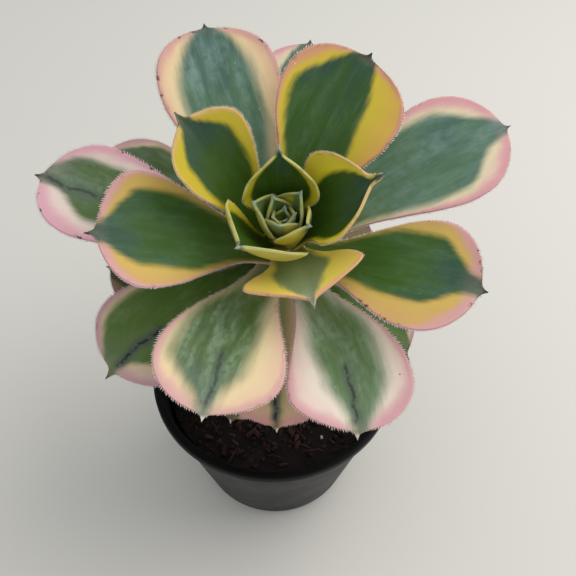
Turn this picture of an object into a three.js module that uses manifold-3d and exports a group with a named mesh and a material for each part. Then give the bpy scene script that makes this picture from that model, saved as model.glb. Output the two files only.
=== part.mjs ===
// A potted aeonium: one leaning rosette of fleshy, spoon-shaped leaves on a short bare stem,
// planted in a round black nursery pot. Millimetres, +Z up, the origin at the centre of the
// pot's underside, -Y towards the viewer that the rosette leans to.

import * as THREE from 'three';
import { mergeVertices } from 'three/addons/utils/BufferGeometryUtils.js';
import Module from 'manifold-3d';

const wasm = await Module();
wasm.setup();

// ---------------------------------------------------------------- driving dimensions

const GAP = 0.3;                 // clearance between pieces that touch
const SEAT_GAP = 0.5;            // the same at the middle of a leaf's base, whose corners are closer

const POT = {
  rimRadius: 45,                 // outside of the lip
  height: 59,
  baseRadius: 30.5,
  lipHeight: 3.4,
  lipOverhang: 1.7,              // how far the lip stands out from the wall
  wall: 1.3,
  floor: 1.6,
  heel: 1.2,                     // bevel round the underside
  drainHoles: 8,
  drainHoleRadius: 3.2,
  drainCircle: 19,
  segments: 48,
};

const SOIL_LEVEL = POT.height - 8.5;  // mean level under the rim

const SOIL = {
  bump: 1.1,                     // height of its crumbs and hollows
  rings: 7,
  segments: 40,
  mound: 2.2,                    // how far it rises round the stem
  moundRadius: 16,
};

const STEM = {
  root: new THREE.Vector2(3, 13),  // where it leaves the soil, seen from above
  footDepth: 22,                 // planted length
  straight: 6,                   // upright stretch above the soil
  neckRadius: 3.6,               // under the heart
  taper: 14,                     // length over which it swells below the heart
  leafZoneRadius: 6.6,
  barkRadius: 5.6,               // bare stretch above the soil
  footRadius: 6.2,
  segments: 16,
  scarPitch: 5,                  // spacing of the rings left by fallen leaves
  scarDepth: 0.35,
};

const ROSETTE = {
  centre: new THREE.Vector3(3.6, 0, 132),  // growing point
  lean: 20,                      // degrees from upright, towards -Y
  goldenAngle: 137.5,
  firstTurn: 124,                // azimuth of leaf number 0, inside the heart
  spacing: 1.25,                 // stem length between one leaf and the next
};

const BLADE = {
  edge: 0.8,                     // thickness of the margin
  body: 3.1,                     // thickness of the midrib near the base
  end: 1.5,                      // thickness of the midrib near the tip
  upperShare: 0.35,              // part of the thickness above the middle surface
};

// Outlines of a blade: half width at its base as a share of the greatest, where it is widest, how its
// end rounds off, half width and length of the drawn-out point, fold along the midrib, and how far
// the tip bends back.
const OUTLINES = {
  round: { neck: 0.28, shoulder: 0.71, curve: 2.2, blunt: 0.58, point: 2.8, pointLength: 4.4,
    fold: 0, hook: 0 },
  square: { neck: 0.28, shoulder: 0.7, curve: 2.6, blunt: 0.5, point: 2.8, pointLength: 4,
    fold: 0, hook: 0 },
  pear: { neck: 0.24, shoulder: 0.73, curve: 2.2, blunt: 0.58, point: 2.8, pointLength: 4.4,
    fold: 0, hook: 0 },
  keen: { neck: 0.34, shoulder: 0.72, curve: 2.2, blunt: 0.62, point: 3.2, pointLength: 6.5,
    fold: 0.1, hook: 0.8 },
  ovate: { neck: 0.33, shoulder: 0.54, curve: 1.9, blunt: 0.75, point: 4.4, pointLength: 10,
    fold: 0.1, hook: 0.8 },
  rhomb: { neck: 0.34, shoulder: 0.68, curve: 1.3, blunt: 0.85, point: 2.6, pointLength: 5,
    fold: 0.1, hook: 2 },
  spade: { neck: 0.36, shoulder: 0.5, curve: 1.8, blunt: 0.8, point: 2.6, pointLength: 5,
    fold: 0, hook: 2 },
  scoop: { neck: 0.31, shoulder: 0.54, curve: 1.8, blunt: 0.8, point: 2.6, pointLength: 5,
    fold: 0, hook: 2 },
  bud: { neck: 0.6, shoulder: 0.42, curve: 1.7, blunt: 0.8, point: 1.3, pointLength: 2.6,
    fold: 0.06, hook: 0.9 },
};

// The large leaves in the order they grew, youngest first: outline, turn off the golden angle, rise
// above the rosette's plane at the base and at the tip, length, width, cup of the cross-section, and
// sway of the tip to one side (degrees and millimetres).
const LEAVES = [
  ['spade', 6, 71, 83, 18.5, 18, 74, 0],
  ['spade', 2, 69, 77, 28, 26, 68, 0],
  ['scoop', 4, 55, 71, 30, 33, 68, 0],
  ['ovate', 5, 57, 46, 37.5, 32.5, 62, 0],
  ['keen', 0.5, 52, 46, 47, 28.5, 40, -1],
  ['rhomb', 9, 50, 30, 30, 36, 16, -1.5],
  ['square', 6, 42, 30, 57.5, 39.5, 32, -4.5],
  ['keen', -7, 38, 18, 55.5, 38, 26, -1],
  ['round', 1, 34, 14, 60, 36, 22, 1],
  ['square', 3, 30, 14, 70, 39, 20, -5],
  ['round', -4, 27, 4, 57, 38, 18, 5],
  ['round', 2.5, 24, 4, 76, 38, 18, -4],
  ['keen', 4, 20, 0, 76.5, 33, 16, -5],
  ['pear', -2.5, 16, -6, 57, 37.5, 14, -10.5],
  ['round', 4, 14, 6, 73, 38, 14, 0],
  ['keen', -5, 10, -8, 61, 35, 12, 6.5],
  ['round', 18, 14, 4, 26, 23, 10, 0],
  ['round', 18, 4, -4, 72, 34, 10, 0],
  ['round', -1, -2, -20, 49, 33, 8, 0],
  ['round', 5, -4, -22, 56, 32, 8, 0],
  ['round', -8, -6, -16, 57, 32, 8, 0],
  ['round', 3, -6, -14, 45.5, 32, 6, 0],
  ['round', 0, -14, -34, 52, 30, 6, 0],
  ['round', 8, -20, -38, 50, 29, 6, 4],
].map(([outline, turn, rise, tipRise, length, width, cup, sway]) => (
  { ...OUTLINES[outline], turn, rise, tipRise, length, width, cup, sway }));
const FIRST_LARGE_LEAF = 4;      // its number in the spiral, after those of the heart

const HEART = {
  from: -4,                      // numbers of the small leaves round the growing point
  to: 3,
  length: 6.5,                   // of the smallest one
  growth: 1.6,                   // longer by this much from each to the next
  slimness: 0.92,                // width as a share of length
  rise: 86,                      // of the smallest one
  opening: 1.6,                  // degrees lower from each to the next
  bulge: 12,                     // degrees lower at the base and steeper at the tip
  cup: 70,
  coreRadius: 3.3,
  coreHeight: 6,
};

const COLOURS = {
  pot: 0x1b1b1d,
  soil: 0x2b1a14,
  stem: 0x7d7458,
  heart: 0x7f9040,
  youngLeaf: 0x6c7f35,
  oldLeaf: 0x7c9078,
};

// ---------------------------------------------------------------- shared geometry

const X = new THREE.Vector3(1, 0, 0);
const Y = new THREE.Vector3(0, 1, 0);
const Z = new THREE.Vector3(0, 0, 1);
const degrees = THREE.MathUtils.degToRad;
const blend = THREE.MathUtils.lerp;
const ease = (x) => THREE.MathUtils.smoothstep(x, 0, 1);

/** Joins corners that share a place and drops the triangles that close up with them. */
function closeUp(points, triangles) {
  const loose = new THREE.BufferGeometry();
  const places = points.flatMap((p) => [p.x, p.y, p.z]);
  loose.setAttribute('position', new THREE.Float32BufferAttribute(places, 3));
  loose.setIndex(triangles.flat());
  const merged = mergeVertices(loose, 1e-3);
  const index = merged.getIndex().array;
  const kept = [];
  for (let i = 0; i < index.length; i += 3) {
    const [a, b, c] = [index[i], index[i + 1], index[i + 2]];
    if (a !== b && b !== c && c !== a) kept.push(a, b, c);
  }
  merged.setIndex(kept);
  return merged;
}

/** A closed skin over rings of points that run anticlockwise seen from the last ring's side. */
function skinRings(rings) {
  const count = rings[0].length;
  const points = rings.flat();
  const triangles = [];
  for (let i = 0; i + 1 < rings.length; i++) {
    for (let j = 0; j < count; j++) {
      const a = i * count + j;
      const b = i * count + (j + 1) % count;
      triangles.push([a, b, b + count], [a, b + count, a + count]);
    }
  }
  return closeUp(points, triangles);
}

/** A ring of points round a centre, across the two given directions. */
function ring(centre, across, along, radius, count) {
  return Array.from({ length: count }, (_, j) => {
    const angle = 2 * Math.PI * j / count;
    return centre.clone()
      .addScaledVector(across, radius * Math.cos(angle))
      .addScaledVector(along, radius * Math.sin(angle));
  });
}

function toSolid(geometry) {
  const plain = geometry.clone();
  plain.deleteAttribute('normal');
  plain.deleteAttribute('uv');
  const merged = mergeVertices(plain, 1e-3);
  return new wasm.Manifold(new wasm.Mesh({
    numProp: 3,
    vertProperties: new Float32Array(merged.getAttribute('position').array),
    triVerts: new Uint32Array(merged.getIndex().array),
  }));
}

function toGeometry(solid) {
  const mesh = solid.getMesh();
  const geometry = new THREE.BufferGeometry();
  geometry.setAttribute('position', new THREE.BufferAttribute(mesh.vertProperties, 3));
  geometry.setIndex(new THREE.BufferAttribute(mesh.triVerts, 1));
  return geometry;
}

/** The same solid with the hollows that it closes in filled: shells that face inwards are left out. */
function fillHollows(solid) {
  const { vertProperties, triVerts } = solid.getMesh();
  const shell = Array.from({ length: vertProperties.length / 3 }, (_, i) => i);
  const shellOf = (i) => (shell[i] === i ? i : (shell[i] = shellOf(shell[i])));
  for (let i = 0; i < triVerts.length; i += 3) {
    shell[shellOf(triVerts[i])] = shellOf(triVerts[i + 1]);
    shell[shellOf(triVerts[i + 1])] = shellOf(triVerts[i + 2]);
  }
  const corner = (i) => new THREE.Vector3().fromArray(vertProperties, 3 * triVerts[i]);
  const volumes = new Map();
  for (let i = 0; i < triVerts.length; i += 3) {
    const key = shellOf(triVerts[i]);
    volumes.set(key, (volumes.get(key) ?? 0) + corner(i).dot(corner(i + 1).cross(corner(i + 2))));
  }
  const kept = Array.from(triVerts).filter((_, i) => volumes.get(shellOf(triVerts[i - i % 3])) > 0);
  const geometry = new THREE.BufferGeometry();
  geometry.setAttribute('position', new THREE.BufferAttribute(vertProperties, 3));
  geometry.setIndex(kept);
  return mergeVertices(geometry, 1e-3);
}

function namedMesh(name, geometry, colour, roughness) {
  geometry.computeVertexNormals();
  const material = new THREE.MeshStandardMaterial({ color: colour, roughness, metalness: 0 });
  const mesh = new THREE.Mesh(geometry, material);
  mesh.name = name;
  return mesh;
}

// ---------------------------------------------------------------- the pot

/** A thin-walled tapered pot with a square lip, and drain holes round its flat floor. */
function makePot() {
  const { rimRadius, height, baseRadius, lipHeight, lipOverhang, wall, floor, heel } = POT;
  const shoulder = height - lipHeight;
  const wallTop = rimRadius - lipOverhang;
  const soft = 0.5;              // rounding of the lip's corners
  const profile = [
    [0, 0],
    [baseRadius - heel, 0],
    [baseRadius, heel],
    [wallTop, shoulder - soft],
    [rimRadius - soft, shoulder],
    [rimRadius, shoulder + soft],
    [rimRadius, height - soft],
    [rimRadius - soft, height],
    [wallTop - wall + soft, height],
    [wallTop - wall, height - soft],
    [wallTop - wall, shoulder - soft],
    [baseRadius - wall, floor + heel],
    [baseRadius - wall - heel, floor],
    [0, floor],
  ].map(([r, z]) => new THREE.Vector2(r, z));
  const lathe = new THREE.LatheGeometry(profile, POT.segments);
  lathe.rotateX(Math.PI / 2);
  let pot = toSolid(lathe);
  for (let i = 0; i < POT.drainHoles; i++) {
    const angle = 2 * Math.PI * (i + 0.5) / POT.drainHoles;
    const drill = new THREE.CylinderGeometry(POT.drainHoleRadius, POT.drainHoleRadius, 4 * floor, 12);
    drill.rotateX(Math.PI / 2);
    drill.translate(POT.drainCircle * Math.cos(angle), POT.drainCircle * Math.sin(angle), 0);
    pot = pot.subtract(toSolid(drill));
  }
  return namedMesh('pot', toGeometry(pot), COLOURS.pot, 0.45);
}

/** Radius of the pot's inner wall at a height. */
function potInnerRadius(z) {
  const shoulder = POT.height - POT.lipHeight;
  const top = POT.rimRadius - POT.lipOverhang - POT.wall;
  const bottom = POT.baseRadius - POT.wall;
  return blend(bottom, top, (z - POT.floor - POT.heel) / (shoulder - POT.floor - POT.heel));
}

// ---------------------------------------------------------------- the soil

function soilHeight(x, y) {
  const fromStem = Math.hypot(x - STEM.root.x, y - STEM.root.y);
  const crumbs = Math.sin(0.42 * x + 1.3) * Math.cos(0.37 * y - 0.6) + 0.6 * Math.sin(0.9 * x - 0.7 * y);
  const mound = SOIL.mound * Math.exp(-((fromStem / SOIL.moundRadius) ** 2));
  return SOIL_LEVEL + SOIL.bump * crumbs / 1.6 + mound;
}

/** Potting mix that fills the pot, uneven on top, with a plain hole for the stem. */
function makeSoil() {
  const bottom = POT.floor + GAP;
  const bevelTop = POT.floor + POT.heel;
  const brink = SOIL_LEVEL - 1.5 * SOIL.bump;
  const brinkRadius = potInnerRadius(brink) - 2 * GAP;
  const level = (z, radius) => ring(new THREE.Vector3(0, 0, z), X, Y, radius, SOIL.segments);
  const rings = [
    level(bottom, 0),
    level(bottom, potInnerRadius(bevelTop) - POT.heel - GAP),
    level(bevelTop, potInnerRadius(bevelTop) - 2 * GAP),
    level(brink, brinkRadius),
  ];
  for (let i = 1; i <= SOIL.rings; i++) {
    const top = level(0, brinkRadius * (1 - i / SOIL.rings));
    top.forEach((p) => { p.z = soilHeight(p.x, p.y); });
    rings.push(top);
  }
  const holeRadius = STEM.footRadius + GAP;
  const holeDepth = STEM.footDepth + POT.height;
  const hole = new THREE.CylinderGeometry(holeRadius, holeRadius, holeDepth, STEM.segments);
  hole.rotateX(Math.PI / 2);
  hole.translate(STEM.root.x, STEM.root.y, SOIL_LEVEL + (POT.height - STEM.footDepth) / 2);
  const soil = toSolid(skinRings(rings)).subtract(toSolid(hole));
  return namedMesh('soil', toGeometry(soil), COLOURS.soil, 1);
}

// ---------------------------------------------------------------- the stem

const axis = Z.clone().applyAxisAngle(X, degrees(ROSETTE.lean));
const leafZone = ROSETTE.spacing * (FIRST_LARGE_LEAF + LEAVES.length + 1);
const stemTop = ROSETTE.spacing * (HEART.to + 0.6);

/** Stem radius under a leaf attached this far below the growing point. */
function stemRadius(below) {
  return blend(STEM.neckRadius, STEM.leafZoneRadius, ease((below - stemTop) / STEM.taper));
}

/** A bare woody foot that bends over into the leaning, leafy top. */
function makeStem() {
  const foot = new THREE.Vector3(STEM.root.x, STEM.root.y, SOIL_LEVEL - STEM.footDepth + GAP);
  const soilLine = new THREE.Vector3(STEM.root.x, STEM.root.y, SOIL_LEVEL + STEM.straight);
  const lowestLeaf = ROSETTE.centre.clone().addScaledVector(axis, -leafZone);
  const reach = 0.45 * lowestLeaf.distanceTo(soilLine);
  const bend = new THREE.CubicBezierCurve3(
    soilLine,
    soilLine.clone().addScaledVector(Z, reach),
    lowestLeaf.clone().addScaledVector(axis, -reach),
    lowestLeaf,
  );
  const stations = [[foot, Z, 0], [foot, Z, STEM.footRadius], [soilLine, Z, STEM.footRadius]];
  const bendSteps = 2 * Math.round(bend.getLength() / STEM.scarPitch);
  for (let i = 1; i <= bendSteps; i++) {
    const u = i / bendSteps;
    const bark = blend(STEM.footRadius, STEM.barkRadius, ease(2 * u));
    const radius = blend(bark, STEM.leafZoneRadius, ease(6 * u - 5));
    stations.push([bend.getPoint(u), bend.getTangent(u), radius - STEM.scarDepth * (i % 2)]);
  }
  const leafySteps = 6;
  for (let i = 1; i <= leafySteps; i++) {
    const below = blend(leafZone, stemTop, i / leafySteps);
    stations.push([ROSETTE.centre.clone().addScaledVector(axis, -below), axis, stemRadius(below)]);
  }
  const [top, direction] = stations.at(-1);
  stations.push([top, direction, 0]);
  const rings = stations.map(([centre, along, radius]) =>
    ring(centre, X, along.clone().cross(X).normalize(), radius, STEM.segments));
  return namedMesh('stem', skinRings(rings), COLOURS.stem, 0.85);
}

// ---------------------------------------------------------------- the leaves

/** Half the blade's width at s, from 0 at the base to 1 at the tip. */
function halfWidth(leaf, s) {
  const { neck, shoulder, curve, blunt, point, pointLength } = leaf;
  const widest = leaf.width / 2;
  if (s < shoulder) return widest * blend(neck, 1, ease((s - 0.08) / (shoulder - 0.08)));
  const pointShare = pointLength / leaf.length;
  const past = Math.min((s - shoulder) / (1 - 0.5 * pointShare - shoulder), 1);
  const rounded = widest * (1 - past ** curve) ** blunt;
  const pointed = Math.min(point, 0.16 * leaf.width) * Math.min(1, (1 - s) / pointShare) ** 1.2;
  return Math.cbrt(rounded ** 3 + pointed ** 3);
}

/** Thickness of the blade at s along it and t across it, thinnest at the margin. */
function thickness(leaf, s, t) {
  const stout = Math.min(1, 0.45 + leaf.length / 100);
  const midrib = stout * blend(BLADE.body, BLADE.end, s);
  return blend(BLADE.edge, Math.max(midrib, BLADE.edge), 1 - t * t);
}

/** A point on the upper (side 1) or lower (side -1) skin of a leaf that points along +X. */
function skinPoint(leaf, s, t, side) {
  const rise = degrees(leaf.rise);
  const bend = degrees(leaf.tipRise - leaf.rise) || 1e-4;
  const angle = rise + bend * s;
  const out = leaf.length * (Math.sin(angle) - Math.sin(rise)) / bend;
  const up = leaf.length * (Math.cos(rise) - Math.cos(angle)) / bend;
  const half = halfWidth(leaf, s);
  const wrap = halfWidth(leaf, 0) / leaf.root * Math.max(0, Math.sin(rise));
  const cup = blend(wrap, degrees(leaf.cup), ease(3 * s)) * (1 - 0.35 * s) || 1e-4;
  const off = (side > 0 ? BLADE.upperShare : BLADE.upperShare - 1) * thickness(leaf, s, t);
  const across = half * Math.sin(cup * t) / cup - off * Math.sin(cup * t);
  const yaw = 3 * leaf.sway / leaf.length * s * s;
  const along = -across * Math.sin(yaw);
  const fold = leaf.fold * half * (Math.hypot(t, 0.15) - 0.15) * ease(1.5 * s);
  const hook = leaf.hook * Math.max(0, (s - 0.8) / 0.2) ** 2;
  const lift = half * (1 - Math.cos(cup * t)) / cup + off * Math.cos(cup * t) + fold - hook;
  const clasp = halfWidth(leaf, 0) ** 2 / (2 * leaf.root);
  const back = clasp * t * t * Math.max(0, 1 - 4 * s) * Math.cos(rise);
  return new THREE.Vector3(
    leaf.root + out - back * Math.cos(rise) + along * Math.cos(angle) - lift * Math.sin(angle),
    across * Math.cos(yaw) + leaf.sway * s ** 3,
    up - back * Math.sin(rise) + along * Math.sin(angle) + lift * Math.cos(angle),
  );
}

/** One closed blade: an upper and a lower skin over the same grid, joined round the margin. */
function makeBlade(leaf, rows, columns) {
  const width = columns.length;
  const points = [];
  for (const side of [1, -1]) {
    for (const s of rows) {
      for (const t of columns) points.push(skinPoint(leaf, s, s === 1 ? 0 : t, side));
    }
  }
  const upper = (i, j) => i * width + j;
  const lower = (i, j) => (rows.length + i) * width + j;
  const triangles = [];
  const quad = (a, b, c, d) => triangles.push([a, b, c], [a, c, d]);
  for (let i = 0; i + 1 < rows.length; i++) {
    for (let j = 0; j + 1 < width; j++) {
      if (columns[j] < 0) {
        quad(upper(i, j), upper(i + 1, j), upper(i + 1, j + 1), upper(i, j + 1));
        triangles.push([lower(i, j), lower(i + 1, j + 1), lower(i + 1, j)]);
        triangles.push([lower(i, j), lower(i, j + 1), lower(i + 1, j + 1)]);
      } else {
        quad(upper(i, j + 1), upper(i, j), upper(i + 1, j), upper(i + 1, j + 1));
        triangles.push([lower(i, j + 1), lower(i + 1, j), lower(i, j)]);
        triangles.push([lower(i, j + 1), lower(i + 1, j + 1), lower(i + 1, j)]);
      }
    }
    quad(lower(i, 0), lower(i + 1, 0), upper(i + 1, 0), upper(i, 0));
    quad(upper(i, width - 1), upper(i + 1, width - 1), lower(i + 1, width - 1), lower(i, width - 1));
  }
  for (let j = 0; j + 1 < width; j++) quad(lower(0, j), upper(0, j), upper(0, j + 1), lower(0, j + 1));
  return closeUp(points, triangles);
}

const LARGE_ROWS = [0, 0.12, 0.27, 0.41, 0.54, 0.66, 0.77, 0.86, 0.92, 0.955, 1];
const SMALL_ROWS = [0, 0.3, 0.55, 0.75, 0.9, 1];
const LARGE_COLUMNS = [-1, -0.68, -0.34, 0, 0.34, 0.68, 1];
const SMALL_COLUMNS = [-1, -0.5, 0, 0.5, 1];

/** Azimuth of a leaf by its number in the spiral, in degrees round the rosette's axis. */
const azimuth = (number) => ROSETTE.firstTurn + ROSETTE.goldenAngle * number;

/** The large leaves, each seated on the stem by the rule of the spiral. */
function makeLeaves() {
  return LEAVES.map((shape, i) => {
    const number = FIRST_LARGE_LEAF + i;
    const below = ROSETTE.spacing * number;
    const rise = degrees(shape.rise);
    const facing = rise > 0 ? BLADE.upperShare : 1 - BLADE.upperShare;
    const skin = facing * thickness(shape, 0, 0) * Math.abs(Math.sin(rise));
    const leaf = { ...shape, root: stemRadius(below) + SEAT_GAP + skin };
    const age = i / (LEAVES.length - 1);
    const colour = new THREE.Color(COLOURS.youngLeaf).lerp(new THREE.Color(COLOURS.oldLeaf), age);
    const name = `leaf_${String(i + 1).padStart(2, '0')}`;
    const mesh = namedMesh(name, makeBlade(leaf, LARGE_ROWS, LARGE_COLUMNS), colour, 0.5);
    mesh.position.z = -below;
    mesh.rotation.z = degrees(azimuth(number) + shape.turn);
    return mesh;
  });
}

/** The closed heart: the smallest leaves, fused round a short core. */
function makeHeart() {
  const base = -stemTop + 2 * GAP;
  const core = new THREE.ConeGeometry(HEART.coreRadius, HEART.coreHeight, 12);
  core.rotateX(Math.PI / 2);
  core.translate(0, 0, base + HEART.coreHeight / 2);
  let heart = toSolid(core);
  for (let number = HEART.from; number <= HEART.to; number++) {
    const step = number - HEART.from;
    const length = HEART.length + HEART.growth * step;
    const leaf = {
      ...OUTLINES.bud,
      rise: HEART.rise - HEART.opening * step - HEART.bulge,
      tipRise: HEART.rise - HEART.opening * step + HEART.bulge,
      length,
      width: HEART.slimness * length,
      cup: HEART.cup,
      sway: 0,
      root: 0.6 + 0.32 * step,
    };
    const blade = makeBlade(leaf, SMALL_ROWS, SMALL_COLUMNS);
    blade.rotateZ(degrees(azimuth(number)));
    blade.translate(0, 0, base + blend(0.6, 0.1, step / 7) * HEART.coreHeight);
    heart = heart.add(toSolid(blade));
  }
  return namedMesh('heart', fillHollows(heart), COLOURS.heart, 0.5);
}

// ---------------------------------------------------------------- the whole plant

const rosette = new THREE.Group();
rosette.position.copy(ROSETTE.centre);
rosette.rotation.x = degrees(ROSETTE.lean);
rosette.add(makeHeart(), ...makeLeaves());

const aeonium = new THREE.Group();
aeonium.add(makePot(), makeSoil(), makeStem(), rosette);

export default aeonium;
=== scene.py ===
import math
import random

import bpy
from mathutils import Matrix, Vector, kdtree, noise


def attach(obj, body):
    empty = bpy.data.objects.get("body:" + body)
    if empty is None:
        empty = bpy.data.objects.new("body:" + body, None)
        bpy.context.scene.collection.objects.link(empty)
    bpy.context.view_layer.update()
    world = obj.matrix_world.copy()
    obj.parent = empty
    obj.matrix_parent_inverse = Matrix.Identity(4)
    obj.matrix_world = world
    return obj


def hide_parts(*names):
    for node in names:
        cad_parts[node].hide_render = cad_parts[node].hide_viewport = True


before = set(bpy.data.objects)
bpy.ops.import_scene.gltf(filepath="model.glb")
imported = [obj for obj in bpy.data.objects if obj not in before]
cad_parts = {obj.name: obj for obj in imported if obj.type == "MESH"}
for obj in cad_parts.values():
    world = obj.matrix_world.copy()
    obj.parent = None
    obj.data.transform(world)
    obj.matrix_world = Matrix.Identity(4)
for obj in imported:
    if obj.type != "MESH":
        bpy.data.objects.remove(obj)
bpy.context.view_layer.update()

# -------------------------------- the view
# The plant stands on a plain pale table top in soft daylight from a large window behind it and to
# the right, seen from above the front of the pot.

MM = 0.001
CAMERA_PLACE = (5.3 * MM, -153.9 * MM, 274.9 * MM)
CAMERA_TILT = math.radians(42)     # up from looking straight down
LENS = 43.75
TABLE_SIZE = 3.0
WINDOW_PLACE = (0.5, 0.16, 0.7)


def paint(red, green, blue):
    """A colour as a painter's chart gives it, from 0 to 255, turned into the light it throws back."""
    def light(value):
        value /= 255
        return value / 12.92 if value <= 0.04045 else ((value + 0.055) / 1.055) ** 2.4
    return (light(red), light(green), light(blue), 1)


def new_material(name, roughness, specular):
    """A material with a Principled shader, and that shader."""
    material = bpy.data.materials.new(name)
    material.use_nodes = True
    shader = material.node_tree.nodes["Principled BSDF"]
    shader.inputs["Roughness"].default_value = roughness
    shader.inputs["Specular IOR Level"].default_value = specular
    return material, shader


def start_piece(name):
    """Names the piece that was just made, which is the active object, and its mesh."""
    piece = bpy.context.object
    piece.name = name
    piece.data.name = name
    return piece


bpy.ops.object.select_all(action="DESELECT")
bpy.ops.object.camera_add(location=CAMERA_PLACE, rotation=(CAMERA_TILT, 0, 0))
camera = bpy.context.object
camera.data.lens = LENS
camera.data.clip_start = 0.01
camera.data.dof.use_dof = False
bpy.context.scene.camera = camera
bpy.context.scene.view_settings.view_transform = "Standard"

bpy.ops.mesh.primitive_plane_add(size=TABLE_SIZE)
table = start_piece("table")
table_finish, table_shader = new_material("pale_table", 0.6, 0.3)
table_shader.inputs["Base Color"].default_value = paint(199, 197, 190)
table.data.materials.append(table_finish)

world = bpy.data.worlds.new("daylight")
bpy.context.scene.world = world
world.use_nodes = True
world.node_tree.nodes["Background"].inputs["Color"].default_value = (0.95, 0.97, 1.0, 1)
world.node_tree.nodes["Background"].inputs["Strength"].default_value = 0.82

bpy.ops.object.light_add(type="AREA", location=WINDOW_PLACE)
window = bpy.context.object
window.data.shape = "SQUARE"
window.data.size = 0.8
window.data.energy = 5.4
window.data.color = (1.0, 0.97, 0.92)
window.rotation_euler = (Vector(WINDOW_PLACE) - Vector((0, 0, 0.1))).to_track_quat("Z", "Y").to_euler()

# -------------------------------- the pot
# A round nursery pot, injection moulded in black polypropylene: a thin tapered wall, a square lip
# that stands out from it, a bevelled heel and a flat floor with eight drain holes.

POT_RIM = 45 * MM
POT_HEIGHT = 59 * MM
POT_BASE = 30.5 * MM
POT_LIP_HEIGHT = 3.4 * MM
POT_LIP_OVERHANG = 1.7 * MM
POT_WALL = 1.3 * MM
POT_FLOOR = 1.6 * MM
POT_HEEL = 1.8 * MM
POT_EDGE_ROUNDING = 0.55 * MM
POT_SEGMENTS = 128
DRAIN_HOLES = 8
DRAIN_RADIUS = 3.2 * MM
DRAIN_CIRCLE = 19 * MM


def edit_whole():
    """Opens the active piece in edit mode, with all of it selected."""
    bpy.ops.object.mode_set(mode="EDIT")
    bpy.ops.mesh.select_all(action="SELECT")


def face_outward():
    """Turns the faces of the piece in edit mode outward, and leaves edit mode."""
    bpy.ops.mesh.select_all(action="SELECT")
    bpy.ops.mesh.normals_make_consistent(inside=False)
    bpy.ops.object.mode_set(mode="OBJECT")


def turn_profile(profile, segments):
    """Carries a circle's edge through the profile's radii and heights, by extruding and scaling."""
    radius, height = profile[0]
    bpy.ops.mesh.primitive_circle_add(
        vertices=segments, radius=radius, fill_type="NGON", location=(0, 0, height))
    edit_whole()
    for next_radius, next_height in profile[1:]:
        rise = (0, 0, next_height - height)
        bpy.ops.mesh.extrude_region_move(TRANSFORM_OT_translate={"value": rise})
        scale = next_radius / radius
        bpy.ops.transform.resize(value=(scale, scale, 1), center_override=(0, 0, next_height))
        radius, height = next_radius, next_height
    face_outward()


def apply_modifier(piece, kind, **settings):
    modifier = piece.modifiers.new(kind.lower(), kind)
    for option, value in settings.items():
        setattr(modifier, option, value)
    bpy.context.view_layer.objects.active = piece
    bpy.ops.object.modifier_apply(modifier=modifier.name)


def select_only(*pieces):
    """Selects these pieces and nothing else, and makes the first one active."""
    bpy.ops.object.select_all(action="DESELECT")
    for piece in pieces:
        piece.select_set(True)
    bpy.context.view_layer.objects.active = pieces[0]


pot_shoulder = POT_HEIGHT - POT_LIP_HEIGHT
pot_wall_top = POT_RIM - POT_LIP_OVERHANG
turn_profile([
    (POT_BASE - POT_HEEL, 0),
    (POT_BASE + 0.02 * MM, POT_HEEL),
    (pot_wall_top, pot_shoulder),
    (POT_RIM, pot_shoulder),
    (POT_RIM + 0.1 * MM, POT_HEIGHT),
    (pot_wall_top - POT_WALL, POT_HEIGHT),
    (pot_wall_top - POT_WALL, pot_shoulder),
    (POT_BASE - POT_WALL, POT_FLOOR + POT_HEEL),
    (POT_BASE - POT_WALL - POT_HEEL, POT_FLOOR),
], POT_SEGMENTS)
pot = start_piece("nursery_pot")
apply_modifier(pot, "BEVEL", width=POT_EDGE_ROUNDING, segments=3, limit_method="ANGLE",
               angle_limit=math.radians(20))

bpy.ops.object.select_all(action="DESELECT")
drills = []
for i in range(DRAIN_HOLES):
    angle = 2 * math.pi * (i + 0.5) / DRAIN_HOLES
    place = (DRAIN_CIRCLE * math.cos(angle), DRAIN_CIRCLE * math.sin(angle), 0)
    bpy.ops.mesh.primitive_cylinder_add(
        vertices=32, radius=DRAIN_RADIUS, depth=4 * POT_FLOOR, location=place)
    drills.append(bpy.context.object)
for drill in drills:
    apply_modifier(pot, "BOOLEAN", object=drill, operation="DIFFERENCE", solver="EXACT")
    bpy.data.objects.remove(drill)
select_only(pot)
bpy.ops.object.shade_smooth_by_angle(angle=math.radians(35))


def node(tree, kind, inputs=(), **settings):
    """Adds a shader node, sets its options and feeds its sockets with values or with outputs."""
    made = tree.nodes.new("ShaderNode" + kind)
    for option, value in settings.items():
        setattr(made, option, value)
    for socket, value in dict(inputs).items():
        if isinstance(value, bpy.types.NodeSocket):
            tree.links.new(value, made.inputs[socket])
        else:
            made.inputs[socket].default_value = value
    return made


def mix_paint(tree, share, colour, other):
    """The first colour where the share is 0, the other where it is 1."""
    return node(tree, "Mix", {"Factor": share, 6: colour, 7: other}, data_type="RGBA").outputs[2]


def ramp(tree, value, low, high, start=0, end=1, **settings):
    """Runs from start to end while the value runs from low to high."""
    span = {"Value": value, "From Min": low, "From Max": high, "To Min": start, "To Max": end}
    return node(tree, "MapRange", span, **settings).outputs["Result"]


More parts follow.
